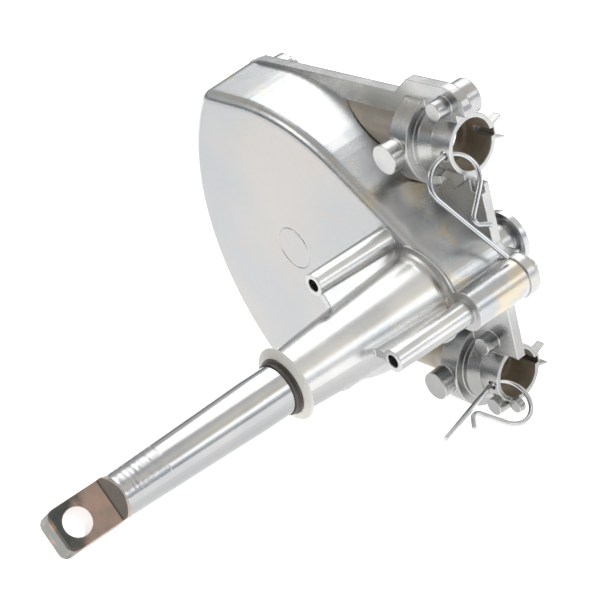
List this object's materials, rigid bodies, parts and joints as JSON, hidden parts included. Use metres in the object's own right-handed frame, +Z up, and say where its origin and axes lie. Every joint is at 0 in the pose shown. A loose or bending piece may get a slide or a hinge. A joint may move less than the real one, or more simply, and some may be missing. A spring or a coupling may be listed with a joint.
{
  "type": "rotary cable steering helm",
  "caption": "Rotary cable steering helm: gear case with a cable drum, side-by-side cable outlets with spring clips, stud mount and a tapered input shaft ending in a drilled tongue.",
  "frame": {"origin": "on the shaft's axis, in the plane of the stud ends, where the helm bolts to the dash bezel", "axes": "-Y along the shaft towards the steering wheel, +X towards the cable outlets, +Z up"},
  "size_m": [0.1649, 0.2127, 0.1401],
  "materials": {
    "front_casting": "tumbled bright die casting, matte on the front face",
    "rear_casting": "satin die casting",
    "shaft_zinc": "bright zinc plate with turning marks; bare copper-tinted tongue",
    "gear_steel": "machined",
    "spring_steel": "drawn wire",
    "white_nylon": "moulded",
    "seal_rubber": "matte",
    "bearing_bronze": "sintered",
    "zinc_plate": "zinc plated",
    "wheel_casting": "as cast with machined groove",
    "clip_wire": "bright zinc plated wire"
  },
  "bodies": {
    "housing": {"front_housing": "front_casting", "rear_cover": "rear_casting", "clutch_sleeve": "gear_steel", "nose_bush": "white_nylon", "shaft_seal": "seal_rubber", "inner_bearing": "bearing_bronze", "rear_bearing": "bearing_bronze", "rear_cap": "zinc_plate", "wheel_axle": "gear_steel", "wheel_washer_front": "gear_steel", "wheel_washer_rear": "gear_steel", "cable_race": "white_nylon", "cover_screws": "zinc_plate", "dowel_pins": "gear_steel"},
    "wheel": {"drive_wheel": "wheel_casting", "wheel_bush": "bearing_bronze"},
    "shaft": {"input_shaft": "shaft_zinc", "drive_pinion": "gear_steel", "clutch_spring": "spring_steel", "thrust_washer": "bearing_bronze", "shaft_circlip": "spring_steel"},
    "clip_upper": {"clip_upper": "clip_wire"},
    "clip_lower": {"clip_lower": "clip_wire"}
  },
  "joints": [
    {"name": "wheel_turn", "type": "hinge", "parent": "housing", "child": "wheel", "pos_m": [-0.066, 0, 0], "axis": [0, 1, 0], "continuous": true},
    {"name": "shaft_turn", "type": "hinge", "parent": "housing", "child": "shaft", "pos_m": [0, 0, 0], "axis": [0, 1, 0], "continuous": true},
    {"name": "clip_upper_swing", "type": "hinge", "parent": "housing", "child": "clip_upper", "pos_m": [0.00676, 0.0556, 0.0492], "axis": [0, -1, 0], "range_deg": [-3, 25]},
    {"name": "clip_lower_swing", "type": "hinge", "parent": "housing", "child": "clip_lower", "pos_m": [0.00643, 0.0542, -0.0495], "axis": [0.24, -0.97, -0.04], "range_deg": [-3, 70]}
  ],
  "couplings": [
    {"joint": "shaft_turn", "follows": "wheel_turn", "ratio": -3.6316}
  ]
}
